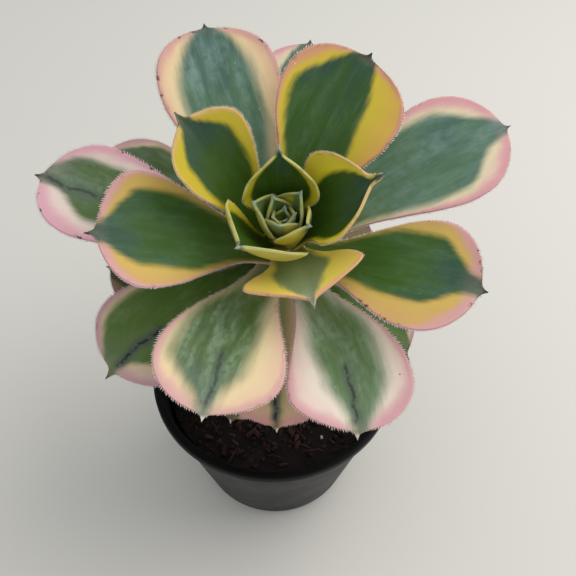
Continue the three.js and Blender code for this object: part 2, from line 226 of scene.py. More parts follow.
plastic, plastic_shader = new_material("black_plastic", 0.42, 0.12)
tree = plastic.node_tree
place = node(tree, "TexCoord").outputs["Object"]
cloud = node(tree, "TexNoise", {"Vector": place, "Scale": 60, "Detail": 5, "Roughness": 0.6}).outputs["Fac"]
grain = node(tree, "TexNoise", {"Vector": place, "Scale": 1800, "Detail": 2}).outputs["Fac"]
height = node(tree, "SeparateXYZ", {"Vector": place}).outputs["Z"]
on_lip = ramp(tree, height, pot_shoulder - 0.6 * MM, pot_shoulder)
dusty = mix_paint(tree, ramp(tree, cloud, 0.45, 0.75), paint(28, 29, 31), paint(39, 39, 38))
shade = mix_paint(tree, on_lip, dusty, paint(3, 3, 4))
gloss = ramp(tree, cloud, 0.3, 0.7, 0.36, 0.5)
dimple = node(tree, "Bump", {"Height": grain, "Strength": 0.12, "Distance": 0.0002})
tree.links.new(shade, plastic_shader.inputs["Base Color"])
tree.links.new(gloss, plastic_shader.inputs["Roughness"])
tree.links.new(dimple.outputs["Normal"], plastic_shader.inputs["Normal"])
pot.data.materials.append(plastic)
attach(pot, "root")
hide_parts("pot")

# -------------------------------- the potting mix
# Dark peat and fine composted bark that fills the pot to a finger's breadth under the rim, heaped a
# little round the stem; its colour is painted darker still as shade from the rosette. On it lie loose
# bark chips, coir fibres, husks and a few white perlite beads.

SOIL_LEVEL = POT_HEIGHT - 8.5 * MM
SOIL_BUMP = 1.1 * MM
SOIL_MOUND = 2.2 * MM
SOIL_MOUND_RADIUS = 16 * MM
SOIL_GAP = 0.3 * MM
SOIL_SEGMENTS = 160
SOIL_RINGS = 44
CRUMB = 0.9 * MM                   # height of the fine crumbs
STEM_ROOT = Vector((3 * MM, 13 * MM, 0))
STEM_HOLE = 5.2 * MM


def pot_inner_radius(height):
    low, high = POT_FLOOR + POT_HEEL, POT_HEIGHT - POT_LIP_HEIGHT
    bottom, top = POT_BASE - POT_WALL, POT_RIM - POT_LIP_OVERHANG - POT_WALL
    return bottom + (top - bottom) * (height - low) / (high - low)


def soil_height(x, y):
    """The lie of the surface, without its crumbs."""
    across, along = x / MM, y / MM
    from_stem = (Vector((x, y, 0)) - STEM_ROOT).length
    waves = math.sin(0.42 * across + 1.3) * math.cos(0.37 * along - 0.6)
    waves += 0.6 * math.sin(0.9 * across - 0.7 * along)
    mound = SOIL_MOUND * math.exp(-((from_stem / SOIL_MOUND_RADIUS) ** 2))
    return SOIL_LEVEL + SOIL_BUMP * waves / 1.6 + mound


soil_brink = SOIL_LEVEL - 1.5 * SOIL_BUMP
brink_radius = pot_inner_radius(soil_brink) - SOIL_GAP
profile = [
    (pot_inner_radius(POT_FLOOR) - POT_HEEL - SOIL_GAP, POT_FLOOR + SOIL_GAP),
    (pot_inner_radius(POT_FLOOR + POT_HEEL) - SOIL_GAP, POT_FLOOR + POT_HEEL),
    (brink_radius, soil_brink),
]
for i in range(1, SOIL_RINGS):
    profile.append((brink_radius * (1 - i / SOIL_RINGS), SOIL_LEVEL))
turn_profile(profile, SOIL_SEGMENTS)
soil = start_piece("potting_mix")
for vertex in soil.data.vertices:
    if vertex.co.z > soil_brink + 0.1 * MM:
        x, y = vertex.co.x, vertex.co.y
        lumps = noise.fractal(Vector((x, y, 0.3)) * 420, 0.7, 2.1, 4)
        vertex.co.z = soil_height(x, y) + CRUMB * lumps
        vertex.co.x += 0.3 * MM * noise.noise(Vector((x, y, 4)) * 900)
        vertex.co.y += 0.3 * MM * noise.noise(Vector((x, y, 9)) * 900)
select_only(soil)
bpy.ops.object.shade_smooth_by_angle(angle=math.radians(50))

peat, peat_shader = new_material("peat", 0.9, 0.2)
tree = peat.node_tree
place = node(tree, "TexCoord").outputs["Object"]
patch = node(tree, "TexNoise", {"Vector": place, "Scale": 260, "Detail": 6, "Roughness": 0.7}).outputs["Fac"]
# the peat's own dark tones, set darker still as painted shade from the rosette over the soil
peat_tone_and_shade = node(tree, "ValToRGB", {"Fac": patch})
peat_tone_and_shade.color_ramp.elements[0].position = 0.36
peat_tone_and_shade.color_ramp.elements[0].color = paint(7, 4, 4)
peat_tone_and_shade.color_ramp.elements[1].position = 0.7
peat_tone_and_shade.color_ramp.elements[1].color = paint(28, 17, 14)
crumbs = node(tree, "TexNoise", {"Vector": place, "Scale": 1500, "Detail": 4}).outputs["Fac"]
rough = node(tree, "Bump", {"Height": crumbs, "Strength": 0.6, "Distance": 0.0006})
tree.links.new(peat_tone_and_shade.outputs["Color"], peat_shader.inputs["Base Color"])
tree.links.new(rough.outputs["Normal"], peat_shader.inputs["Normal"])
soil.data.materials.append(peat)
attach(soil, "root")
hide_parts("soil")

# Loose bits lie on the mix: each kind is modelled once, from a small ball, block or rod, and copied.

BITS_SEED = 11
bits_draw = random.Random(BITS_SEED)
noise.seed_set(BITS_SEED)          # without it noise_vector differs from run to run


def loose_shape(kind):
    """The corners and faces of one bit, about one unit long."""
    if kind == "fibre":
        bpy.ops.mesh.primitive_cylinder_add(vertices=5, radius=0.035, depth=1, rotation=(0, math.pi / 2, 0))
        edit_whole()
        bpy.ops.mesh.subdivide(number_cuts=3)
        bpy.ops.object.mode_set(mode="OBJECT")
        bpy.ops.object.transform_apply()
    elif kind == "chip":
        bpy.ops.mesh.primitive_cube_add(size=1)
        edit_whole()
        bpy.ops.mesh.bevel(offset=0.22, segments=1, affect="EDGES")
        bpy.ops.object.mode_set(mode="OBJECT")
    else:
        bpy.ops.mesh.primitive_ico_sphere_add(subdivisions=2 if kind == "perlite" else 1, radius=0.5)
    ball = bpy.context.object
    mesh = ball.data
    corners = []
    for vertex in mesh.vertices:
        corner = vertex.co.copy()
        if kind == "fibre":
            corner.y += 0.22 * math.sin(3.1 * corner.x) + 0.05 * math.sin(11 * corner.x)
            corner.z += 0.10 * math.cos(3.4 * corner.x)
        elif kind == "chip":
            corner = Vector((corner.x, 0.5 * corner.y, 0.26 * corner.z))
            corner += 0.2 * noise.noise_vector(corner * 2.3)
        else:
            corner += 0.2 * noise.noise_vector(corner * 2.1)
        corners.append(corner)
    faces = [tuple(face.vertices) for face in mesh.polygons]
    bpy.data.objects.remove(ball)
    return corners, faces


def add_piece(name, mesh):
    piece = bpy.data.objects.new(name, mesh)
    bpy.context.collection.objects.link(piece)
    return piece


bit_kinds = [
    # kind, how many, smallest and largest length, colours
    ("chip", 190, 1.6 * MM, 4.0 * MM, (22, 12, 11), (66, 38, 34)),
    ("crumb", 700, 0.7 * MM, 2.2 * MM, (12, 8, 7), (40, 26, 22)),
    ("fibre", 30, 3 * MM, 7 * MM, (48, 30, 22), (86, 60, 42)),
    ("husk", 8, 1.0 * MM, 1.8 * MM, (110, 84, 64), (150, 120, 96)),
    ("perlite", 7, 1.0 * MM, 1.6 * MM, (150, 146, 138), (196, 192, 184)),
]
for kind, count, smallest, largest, dark, pale in bit_kinds:
    corners, faces = loose_shape("chip" if kind == "husk" else kind)
    points, polygons, tints = [], [], []
    for _ in range(count):
        angle = bits_draw.uniform(0, 2 * math.pi)
        size = bits_draw.uniform(smallest, largest)
        radius = (brink_radius - 0.5 * size - 0.6 * MM) * math.sqrt(bits_draw.uniform(0, 1))
        x, y = radius * math.cos(angle), radius * math.sin(angle)
        if (Vector((x, y, 0)) - STEM_ROOT).length < STEM_HOLE + 1.5 * MM + 0.5 * size:
            continue
        lift = 0.06 * size if kind == "fibre" else 0.12 * size
        turn = Matrix.Rotation(bits_draw.uniform(0, 2 * math.pi), 4, "Z")
        lean = 0.25 if kind == "fibre" else 0.6
        tilt = Matrix.Rotation(bits_draw.uniform(-lean, lean), 4, "X")
        tilt = tilt @ Matrix.Rotation(bits_draw.uniform(-lean, lean), 4, "Y")
        stretch = Vector((1, bits_draw.uniform(0.7, 1.1), bits_draw.uniform(0.7, 1.2)))
        pose = Matrix.Translation((x, y, soil_height(x, y) + lift)) @ turn @ tilt
        first = len(points)
        points.extend(pose @ (size * corner * stretch) for corner in corners)
        polygons.extend(tuple(first + index for index in face) for face in faces)
        tints.extend([bits_draw.random()] * len(corners))
    mesh = bpy.data.meshes.new(kind + "_bits")
    mesh.from_pydata(points, [], polygons)
    tint = mesh.attributes.new("tint", "FLOAT", "POINT")
    tint.data.foreach_set("value", tints)
    bits = add_piece(kind + "_bits", mesh)
    mesh.shade_smooth()
    finish, shader = new_material(kind, 0.85, 0.25)
    tree = finish.node_tree
    place = node(tree, "TexCoord").outputs["Object"]
    speck = node(tree, "TexNoise", {"Vector": place, "Scale": 900, "Detail": 3}).outputs["Fac"]
    own = node(tree, "Attribute", attribute_name="tint").outputs["Fac"]
    share = node(tree, "Mix", {"Factor": 0.45, 2: own, 3: speck}, data_type="FLOAT").outputs[0]
    shade = mix_paint(tree, share, paint(*dark), paint(*pale))
    pits = node(tree, "Bump", {"Height": speck, "Strength": 0.4, "Distance": 0.0003})
    tree.links.new(shade, shader.inputs["Base Color"])
    tree.links.new(pits.outputs["Normal"], shader.inputs["Normal"])
    mesh.materials.append(finish)
    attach(bits, "root")

# -------------------------------- the stem
# A short woody stem: a bare grey-brown foot that bends over under the rosette's weight, ringed with
# the scars of fallen leaves, and a greener top where the leaves sit.

ROSETTE_CENTRE = Vector((3.6 * MM, 0, 132 * MM))
ROSETTE_LEAN = math.radians(20)
GOLDEN_ANGLE = 137.5
FIRST_TURN = 124
LEAF_SPACING = 1.25 * MM
LAST_LEAF = 27
HEART_LAST = 3
STEM_FOOT_DEPTH = 22 * MM
STEM_STRAIGHT = 6 * MM
STEM_NECK = 3.6 * MM
STEM_TAPER = 14 * MM
STEM_LEAF_ZONE = 6.6 * MM
STEM_BARK = 5.6 * MM
STEM_FOOT = 6.2 * MM
STEM_SIDES = 48
STEM_CREASE = 0.35 * MM            # depth of the creases and of the rings that fallen leaves left
STEM_RING = 0.3 * MM
STEM_GREEN_FROM = 78 * MM          # heights between which the bark turns green
STEM_GREEN_TO = 100 * MM
BEND_STEPS = 64
TOP_STEPS = 30

stem_axis = Vector((0, -math.sin(ROSETTE_LEAN), math.cos(ROSETTE_LEAN)))
leaf_zone = LEAF_SPACING * (LAST_LEAF + 2)
stem_top = LEAF_SPACING * (HEART_LAST + 0.6)


def blend(start, end, share):
    return start + (end - start) * share


def ease(x):
    """A smooth step from 0 to 1."""
    x = max(0.0, min(1.0, x))
    return x * x * (3 - 2 * x)


def stem_radius(below):
    """Radius of the leafy top, this far below the growing point."""
    return blend(STEM_NECK, STEM_LEAF_ZONE, ease((below - stem_top) / STEM_TAPER))


soil_line = Vector((STEM_ROOT.x, STEM_ROOT.y, SOIL_LEVEL + STEM_STRAIGHT))
lowest_leaf = ROSETTE_CENTRE - leaf_zone * stem_axis
reach = 0.45 * (lowest_leaf - soil_line).length
handles = [soil_line, soil_line + Vector((0, 0, reach)), lowest_leaf - reach * stem_axis, lowest_leaf]


def along_bend(u):
    """A point of the bare stretch, and the stem's direction there."""
    a, b, c, d = handles
    v = 1 - u
    point = v ** 3 * a + 3 * v * v * u * b + 3 * v * u * u * c + u ** 3 * d
    direction = 3 * v * v * (b - a) + 6 * v * u * (c - b) + 3 * u * u * (d - c)
    return point, direction.normalized()


# a point, the stem's direction and its radius, all the way up
stations = []
for depth, share in ((STEM_FOOT_DEPTH - SOIL_GAP, 0.9), (4 * MM, 1)):
    foot = Vector((STEM_ROOT.x, STEM_ROOT.y, SOIL_LEVEL - depth))
    stations.append((foot, Vector((0, 0, 1)), share * STEM_FOOT))
for i in range(BEND_STEPS + 1):
    u = i / BEND_STEPS
    point, direction = along_bend(u)
    bark = blend(STEM_FOOT, STEM_BARK, ease(2 * u))
    stations.append((point, direction, blend(bark, STEM_LEAF_ZONE, ease(6 * u - 5))))
for i in range(1, TOP_STEPS + 1):
    below = blend(leaf_zone, stem_top, i / TOP_STEPS)
    stations.append((ROSETTE_CENTRE - below * stem_axis, stem_axis, stem_radius(below)))
stations.append((stations[-1][0] + 0.3 * MM * stem_axis, stem_axis, 0.3 * STEM_NECK))

bpy.ops.mesh.primitive_cylinder_add(vertices=STEM_SIDES, radius=1, depth=1)
stem = start_piece("woody_stem")
bpy.ops.object.mode_set(mode="EDIT")
bpy.ops.mesh.select_all(action="DESELECT")
bpy.ops.object.mode_set(mode="OBJECT")
for face in stem.data.polygons:
    face.select = face.normal.z > 0.9
bpy.ops.object.mode_set(mode="EDIT")
for _ in stations[2:]:
    bpy.ops.mesh.extrude_region_move(TRANSFORM_OT_translate={"value": (0, 0, 1)})
bpy.ops.object.mode_set(mode="OBJECT")
for vertex in stem.data.vertices:
    level = round(vertex.co.z + 0.5)
    centre, direction, radius = stations[level]
    turn = math.atan2(vertex.co.y, vertex.co.x)
    crease = noise.fractal(Vector((2.2 * math.cos(turn), 2.2 * math.sin(turn), 0.22 * level)), 0.6, 2, 3)
    ring = math.sin(0.95 * level + 0.8 * math.sin(turn + 0.35 * level))
    radius += STEM_CREASE * crease - STEM_RING * max(0, ring) ** 3
    side = Vector((1, 0, 0))
    front = direction.cross(side).normalized()
    vertex.co = centre + radius * (math.cos(turn) * side + math.sin(turn) * front)
bpy.ops.object.mode_set(mode="EDIT")
face_outward()
stem.data.shade_smooth()

bark, bark_shader = new_material("stem_bark", 0.75, 0.3)
tree = bark.node_tree
place = node(tree, "TexCoord").outputs["Object"]
height = node(tree, "SeparateXYZ", {"Vector": place}).outputs["Z"]
fissure = node(tree, "TexNoise", {"Vector": place, "Scale": 420, "Detail": 6}).outputs["Fac"]
woody = mix_paint(tree, fissure, paint(84, 70, 52), paint(156, 138, 108))
green_wood = mix_paint(tree, fissure, paint(108, 116, 62), paint(150, 150, 96))
shade = mix_paint(tree, ramp(tree, height, STEM_GREEN_FROM, STEM_GREEN_TO), woody, green_wood)
cracks = node(tree, "Bump", {"Height": fissure, "Strength": 0.5, "Distance": 0.0006})
tree.links.new(shade, bark_shader.inputs["Base Color"])
tree.links.new(cracks.outputs["Normal"], bark_shader.inputs["Normal"])
stem.data.materials.append(bark)
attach(stem, "root")
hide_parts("stem")

# -------------------------------- the leaves
# Fleshy spoon-shaped leaves in one spiral up the stem, each thick along its middle, drawn in to a
# clasping base and a small hard point, with a fringe of soft teeth. The green runs up the middle of
# each; the margins lack it, and are yellow when young, then cream and peach with a pink edge.

BLADE_COLUMNS = 20
BLADE_ROWS = 44
BLADE_EDGE = 0.8                   # thicknesses, millimetres
BLADE_BODY = 3.1
BLADE_END = 1.5
BLADE_UPPER_SHARE = 0.35
BLADE_FINEST = 0.12
GROOVE_WIDTH = 1.4                 # the groove along the midrib, above and below
GROOVE_UPPER = 0.35
GROOVE_LOWER = 0.2
UNEVENNESS = 0.5
RIM_RIPPLE = 0.4
SEAT_GAP = 0.5
LEAF_SINK = 1.0                    # how far the visible base runs on into the stem
TOOTH_LENGTH = 0.95
TOOTH_PITCH = 0.8
TOOTH_SLANT = math.radians(32)
FIRST_TOOTH = 0.1                  # shares of the leaf's length between which teeth stand
LAST_TOOTH = 0.972
NUDGE = 0.004                      # the step along the rim that gives its direction
RIM_SAMPLES = 240
FAR_FROM_GREEN = -9.0              # what the pigment is told of the teeth
TOOTH_UNDERSIDE = 0.3
CHART = 100                        # millimetres of leaf to one unit of its map

# Outlines: half width at the base as a share of the greatest, where the blade is widest and how its
# end rounds off, half width and length of the drawn-out point, fold along the midrib, and how far
# the tip bends back (millimetres).
OUTLINE_TERMS = ("neck", "shoulder", "curve", "blunt", "point", "point_length", "fold", "hook")
OUTLINES = {
    "round": (0.28, 0.71, 2.2, 0.58, 2.8, 4.4, 0, 0),
    "square": (0.28, 0.7, 2.6, 0.5, 2.8, 4, 0, 0),
    "pear": (0.24, 0.73, 2.2, 0.58, 2.8, 4.4, 0, 0),
    "keen": (0.34, 0.72, 2.2, 0.62, 3.2, 6.5, 0.1, 0.8),
    "ovate": (0.33, 0.54, 1.9, 0.75, 4.4, 10, 0.1, 0.8),
    "rhomb": (0.34, 0.68, 1.3, 0.85, 2.6, 5, 0.1, 2),
    "spade": (0.36, 0.5, 1.8, 0.8, 2.6, 5, 0, 2),
    "scoop": (0.31, 0.54, 1.8, 0.8, 2.6, 5, 0, 2),
    "bud": (0.6, 0.42, 1.7, 0.8, 1.3, 2.6, 0.06, 0.9),
}


def outline_of(name):
    return dict(zip(OUTLINE_TERMS, OUTLINES[name]))


LEAVES = [
    # name, outline, turn, rise, tip rise, length, width, cup, sway
    ("leaf_01", "spade", 6, 71, 83, 18.5, 18, 74, 0),
    ("leaf_02", "spade", 2, 69, 77, 28, 26, 68, 0),
    ("leaf_03", "scoop", 4, 55, 71, 30, 33, 68, 0),
    ("leaf_04", "ovate", 5, 57, 46, 37.5, 32.5, 62, 0),
    ("leaf_05", "keen", 0.5, 52, 46, 47, 28.5, 40, -1),
    ("leaf_06", "rhomb", 9, 50, 30, 30, 36, 16, -1.5),
    ("leaf_07", "square", 6, 42, 30, 57.5, 39.5, 32, -4.5),
    ("leaf_08", "keen", -7, 38, 18, 55.5, 38, 26, -1),
    ("leaf_09", "round", 1, 34, 14, 60, 36, 22, 1),
    ("leaf_10", "square", 3, 30, 14, 70, 39, 20, -5),
    ("leaf_11", "round", -4, 27, 4, 57, 38, 18, 5),
    ("leaf_12", "round", 2.5, 24, 4, 76, 38, 18, -4),
    ("leaf_13", "keen", 4, 20, 0, 76.5, 33, 16, -5),
    ("leaf_14", "pear", -2.5, 16, -6, 57, 37.5, 14, -10.5),
    ("leaf_15", "round", 4, 14, 6, 73, 38, 14, 0),
    ("leaf_16", "keen", -5, 10, -8, 61, 35, 12, 6.5),
    ("leaf_17", "round", 18, 14, 4, 26, 23, 10, 0),
    ("leaf_18", "round", 18, 4, -4, 72, 34, 10, 0),
    ("leaf_19", "round", -1, -2, -20, 49, 33, 8, 0),
    ("leaf_20", "round", 5, -4, -22, 56, 32, 8, 0),
    ("leaf_21", "round", -8, -6, -16, 57, 32, 8, 0),
    ("leaf_22", "round", 3, -6, -14, 45.5, 32, 6, 0),
    ("leaf_23", "round", 0, -14, -34, 52, 30, 6, 0),
    ("leaf_24", "round", 8, -20, -38, 50, 29, 6, 4),
]
FIRST_LARGE_LEAF = 4

# How far the green reaches to each side of the midrib, as shares of the half width at a tenth, four
# tenths, seven tenths and nine tenths of the length, on the left and on the right of a leaf that
# points away from the viewer; then what the greens and the margin look like.
GREEN_STATIONS = (0.1, 0.4, 0.7, 0.9)
PATTERNS = {
    "leaf_01": ((0.9, 0.8, 0.8, 0.8), (0.3, 0.0, 0.1, 0.6), "deep", "bud"),
    "leaf_02": ((0.9, 0.78, 0.74, 0.7), (0.9, 0.78, 0.74, 0.7), "deep", "bud"),
    "leaf_03": ((0.1, 0.0, 0.0, 0.3), (0.9, 0.8, 0.8, 0.8), "deep", "bud"),
    "leaf_04": ((0.9, 0.6, 0.55, 0.6), (0.95, 0.82, 0.82, 0.9), "deep", "lemon"),
    "leaf_05": ((0.85, 0.84, 0.6, 0.36), (0.95, 0.79, 0.7, 0.42), "deep", "yellow"),
    "leaf_06": ((0.95, 0.7, 0.28, 0.35), (0.9, 0.62, 0.4, 0.5), "sage", "amber"),
    "leaf_07": ((0.98, 0.85, 0.82, 0.55), (0.95, 0.6, 0.4, 0.35), "bright", "gold"),
    "leaf_08": ((0.95, 0.85, 0.58, 0.4), (0.98, 0.88, 0.74, 0.45), "bright", "straw"),
    "leaf_09": ((0.97, 0.95, 0.75, 0.42), (0.9, 0.62, 0.5, 0.2), "bright", "straw"),
    "leaf_10": ((0.95, 0.85, 0.68, 0.55), (0.9, 0.74, 0.62, 0.55), "glaucous", "cream"),
    "leaf_11": ((0.95, 0.55, 0.4, 0.18), (0.97, 0.96, 0.8, 0.36), "soft", "peach"),
    "leaf_12": ((0.97, 0.92, 0.75, 0.5), (0.94, 0.86, 0.76, 0.3), "glaucous", "blush"),
    "leaf_13": ((0.95, 0.85, 0.6, 0.14), (0.9, 0.72, 0.66, 0.75), "soft", "rose"),
    "leaf_14": ((0.97, 0.85, 0.6, 0.45), (0.8, 0.6, 0.4, 0.18), "pale", "pearl"),
    "leaf_15": ((0.95, 0.7, 0.6, 0.5), (0.9, 0.7, 0.6, 0.5), "glaucous", "blush"),
    "leaf_16": ((0.9, 0.85, 0.7, 0.2), (0.96, 0.9, 0.85, 0.75), "old", "mauve"),
    "leaf_17": ((0.6, 0.2, 0.1, 0.05), (0.6, 0.2, 0.1, 0.05), "old", "mauve"),
    # leaf_18 lies in shade and takes the lighter soft greens, in part as painted light
    "leaf_18": ((0.95, 0.9, 0.8, 0.6), (0.98, 0.95, 0.9, 0.7), "soft", "mauve"),
    "leaf_19": ((0.5, 0.2, 0.1, 0.08), (0.5, 0.2, 0.1, 0.08), "olive", "beige"),
    "leaf_20": ((0.9, 0.8, 0.7, 0.5), (0.9, 0.7, 0.6, 0.5), "old", "mauve"),
    "leaf_21": ((0.9, 0.9, 0.8, 0.6), (0.9, 0.8, 0.75, 0.6), "dusk", "dusk"),
    # leaf_21 lies in shade at the back: its greens and margins are painted dark as painted shade
    "leaf_22": ((0.9, 0.85, 0.7, 0.6), (0.9, 0.8, 0.75, 0.6), "old", "mauve"),
    "leaf_23": ((0.9, 0.7, 0.6, 0.5), (0.9, 0.7, 0.6, 0.5), "old", "mauve"),
    "leaf_24": ((0.9, 0.7, 0.5, 0.4), (0.9, 0.7, 0.5, 0.4), "olive", "beige"),
}

# The greens: at the base, in the middle, at the tip, and the bloom that lies on them.
GREENS = {
    "deep": ((58, 86, 8), (46, 72, 4), (42, 68, 52), (96, 130, 90)),
    "bright": ((76, 102, 24), (54, 86, 26), (46, 76, 58), (112, 144, 118)),
    "glaucous": ((100, 124, 54), (76, 108, 80), (62, 92, 80), (128, 154, 150)),
    "soft": ((98, 116, 50), (72, 96, 48), (84, 102, 80), (146, 168, 138)),
    # pale: leaf_14's own greens, with the base lightened as painted light where leaf_06 shades it
    "pale": ((124, 136, 84), (92, 118, 70), (88, 112, 84), (150, 172, 144)),
    "old": ((56, 80, 10), (74, 102, 36), (84, 106, 64), (130, 150, 104)),
    "sage": ((104, 118, 56), (112, 126, 72), (116, 130, 108), (150, 154, 128)),
    "young": ((84, 102, 32), (84, 106, 44), (96, 124, 92), (130, 150, 110)),
    # olive: the leaves' own olive green, with the base and middle lightened as painted light where leaf_19's
    # base lies in shade
    "olive": ((164, 160, 108), (134, 136, 80), (88, 84, 46), (164, 158, 120)),
    # painted shade: dark greens for leaf_21, which lies in shade
    "dusk": ((54, 62, 22), (56, 64, 24), (58, 56, 34), (90, 90, 54)),
}

# The margins: next to the green, further out, the edge, and the tip's hard point.
MARGINS = {
    "bud": ((180, 168, 34), (192, 176, 50), (180, 182, 104), (132, 156, 138)),
    "sprout": ((172, 164, 40), (170, 166, 60), (136, 148, 88), (132, 156, 138)),
    "lemon": ((206, 192, 44), (208, 188, 62), (206, 168, 112), (84, 104, 96)),
    "yellow": ((184, 166, 40), (188, 166, 56), (204, 168, 112), (104, 128, 118)),
    "amber": ((212, 194, 76), (222, 194, 92), (214, 156, 126), (158, 160, 150)),
    "gold": ((206, 184, 60), (216, 172, 84), (206, 146, 130), (62, 52, 54)),
    "straw": ((194, 164, 84), (192, 154, 98), (198, 148, 154), (62, 52, 54)),
    "cream": ((216, 194, 152), (206, 170, 138), (190, 142, 138), (66, 64, 58)),
    "peach": ((222, 202, 158), (220, 186, 160), (202, 154, 154), (214, 200, 192)),
    "pearl": ((232, 219, 202), (226, 200, 190), (206, 150, 158), (214, 200, 192)),
    "blush": ((208, 196, 162), (212, 174, 166), (198, 140, 148), (84, 68, 66)),
    "rose": ((212, 196, 184), (214, 180, 180), (202, 148, 162), (84, 68, 66)),
    "mauve": ((202, 182, 150), (202, 172, 162), (184, 142, 148), (76, 70, 60)),
    "beige": ((200, 176, 138), (206, 168, 142), (202, 144, 142), (220, 206, 196)),
    # painted shade: dark margins for leaf_21, which lies in shade
    "dusk": ((110, 96, 56), (122, 98, 76), (144, 108, 104), (70, 60, 54)),
}

# What is more on single leaves: bloom, streaks, a scar with its grey band of painted shade (strength,
# from, to), specks, dried stretches of rim, how far the green's border wanders and how soft it is, the
# width of the pink edge (mm) and where along the leaf that edge begins to widen.
TENDER = dict(bloom=0.1, edge=0.7, soft=0.9, wobble=0.6, specks=0.2)
HABITS = {
    "leaf_01": TENDER,
    "leaf_02": TENDER,
    "leaf_03": TENDER,
    "leaf_04": dict(bloom=0.1, edge=1.2, soft=1.3, wobble=0.8),
    "leaf_05": dict(bloom=0.15, edge=1.6, soft=1.3),
    "leaf_06": dict(bloom=0.15, edge=1.8, soft=1.4),
    "leaf_07": dict(bloom=0.2, streaks=0.25, edge=3.0, soft=1.4),
    "leaf_08": dict(bloom=0.2, edge=3.6, edge_from=0.5, soft=1.8),
    "leaf_09": dict(bloom=0.2, streaks=0.2, edge=7.5, edge_from=0.66, soft=1.6, dried=0.9),
    "leaf_10": dict(bloom=0.6, streaks=0.4, soft=2.8, edge=2.8, wobble=1.3, dried=1.0),
    "leaf_11": dict(bloom=0.7, soft=3.6, edge=4.2, wobble=1.5, scar=(0.55, 0.6, 0.95)),
    "leaf_12": dict(bloom=0.4, streaks=0.3, soft=2.0, edge=5.0),
    "leaf_13": dict(bloom=0.4, scar=(0.6, 0.6, 0.97), edge=7.0, soft=2.0, dried=1.0),
    "leaf_14": dict(bloom=0.7, soft=3.0, edge=4.0, wobble=1.5, scar=(0.7, 0.6, 0.95)),
    "leaf_16": dict(bloom=0.3, scar=(1.0, 0.6, 0.94), edge=4.0, soft=1.8),
    "leaf_18": dict(bloom=0.4, edge=3.6),
    "leaf_19": dict(scar=(0.9, 0.7, 0.95), edge=4.0, soft=2.0),
}


def half_width(leaf, s):
    """Half the blade's width at s, from 0 at the base to 1 at the tip, in millimetres."""
    widest = leaf["width"] / 2
    shoulder = leaf["shoulder"]
    if s < shoulder:
        return widest * blend(leaf["neck"], 1, ease((s - 0.08) / (shoulder - 0.08)))
    point_share = leaf["point_length"] / leaf["length"]
    past = min((s - shoulder) / (1 - 0.5 * point_share - shoulder), 1)
    rounded = widest * (1 - past ** leaf["curve"]) ** leaf["blunt"]
    point = min(leaf["point"], 0.16 * leaf["width"]) * min(1, (1 - s) / point_share) ** 1.2
    return max((rounded ** 3 + point ** 3) ** (1 / 3), BLADE_FINEST)


def thickness(leaf, s, t):
    """Thickness of the blade at s along it and t across it."""
    stout = min(1, 0.45 + leaf["length"] / 100)
    midrib = stout * blend(BLADE_BODY, BLADE_END, s)
    full = blend(BLADE_EDGE, max(midrib, BLADE_EDGE), 1 - t * t)
    return full * blend(1, 0.3, ease((s - 0.93) / 0.07))


def skin_point(leaf, s, t, side):
    """A point between the lower (side 0) and upper (side 1) skin of a leaf that points along +X."""
    rise = math.radians(leaf["rise"])
    bend = math.radians(leaf["tip_rise"] - leaf["rise"]) or 1e-4
    angle = rise + bend * s
    out = leaf["length"] * (math.sin(angle) - math.sin(rise)) / bend
    up = leaf["length"] * (math.cos(rise) - math.cos(angle)) / bend
    half = half_width(leaf, s)
    wrap = half_width(leaf, 0) / leaf["root"] * max(0, math.sin(rise))
    cup = blend(wrap, math.radians(leaf["cup"]), ease(3 * s)) * (1 - 0.35 * s) or 1e-4
    off = (side - 1 + BLADE_UPPER_SHARE) * thickness(leaf, s, t)
    grown = ease(2 * s)
    uneven = noise.noise(Vector((2.4 * s, 1.3 * t, leaf["seed"])))
    ripple = t ** 4 * noise.noise(Vector((9 * s, t, leaf["seed"] + 5)))
    groove = (GROOVE_UPPER if side > 0.5 else GROOVE_LOWER) * ease((s - 0.2) / 0.6)
    groove *= math.exp(-((half * t / GROOVE_WIDTH) ** 2)) * min(1, half / 3)
    off += grown * (UNEVENNESS * uneven + RIM_RIPPLE * ripple) * min(1, leaf["width"] / 30) - groove
    across = half * math.sin(cup * t) / cup - off * math.sin(cup * t)
    yaw = 3 * leaf["sway"] / leaf["length"] * s * s
    lift = half * (1 - math.cos(cup * t)) / cup + off * math.cos(cup * t)
    lift += leaf["fold"] * half * (math.hypot(t, 0.15) - 0.15) * ease(1.5 * s)
    lift -= leaf["hook"] * max(0, (s - 0.8) / 0.2) ** 2
    clasp = half_width(leaf, 0) ** 2 / (2 * leaf["root"])
    back = clasp * t * t * max(0, 1 - 4 * s) * math.cos(rise)
    sink = LEAF_SINK * max(0, 1 - s / 0.05) * math.cos(rise)
    along = -across * math.sin(yaw)
    return MM * Vector((
        leaf["root"] + out - sink - back * math.cos(rise) + along * math.cos(angle) - lift * math.sin(angle),
        across * math.cos(yaw) + leaf["sway"] * s ** 3,
        up - back * math.sin(rise) + along * math.sin(angle) + lift * math.cos(angle)))


def green_reach(leaf, s, t):
    """Millimetres from the border of the green, positive inside it."""
    shares = leaf["green_left"] if t > 0 else leaf["green_right"]
    own = abs(t) * half_width(leaf, s)
    last = GREEN_STATIONS[-1]
    if s > last:
        return blend(shares[-1] * half_width(leaf, last), leaf["point"], (s - last) / (1 - last)) - own
    places = (0, *GREEN_STATIONS)
    levels = (shares[0], *shares)
    for i in range(len(GREEN_STATIONS)):
        if s <= places[i + 1]:
            share = blend(levels[i], levels[i + 1], ease((s - places[i]) / (places[i + 1] - places[i])))
            return share * half_width(leaf, s) - own


def chart_skin(mesh, chart, green, rim, under):
    """Gives each point its place on the leaf and its distances from the green and from the rim."""
    layer = mesh.uv_layers.new(name="blade")
    for loop in mesh.loops:
        layer.data[loop.index].uv = chart[loop.vertex_index]
    for name, values in (("green", green), ("rim", rim), ("underside", under)):
        mesh.attributes.new(name, "FLOAT", "POINT").data.foreach_set("value", values)


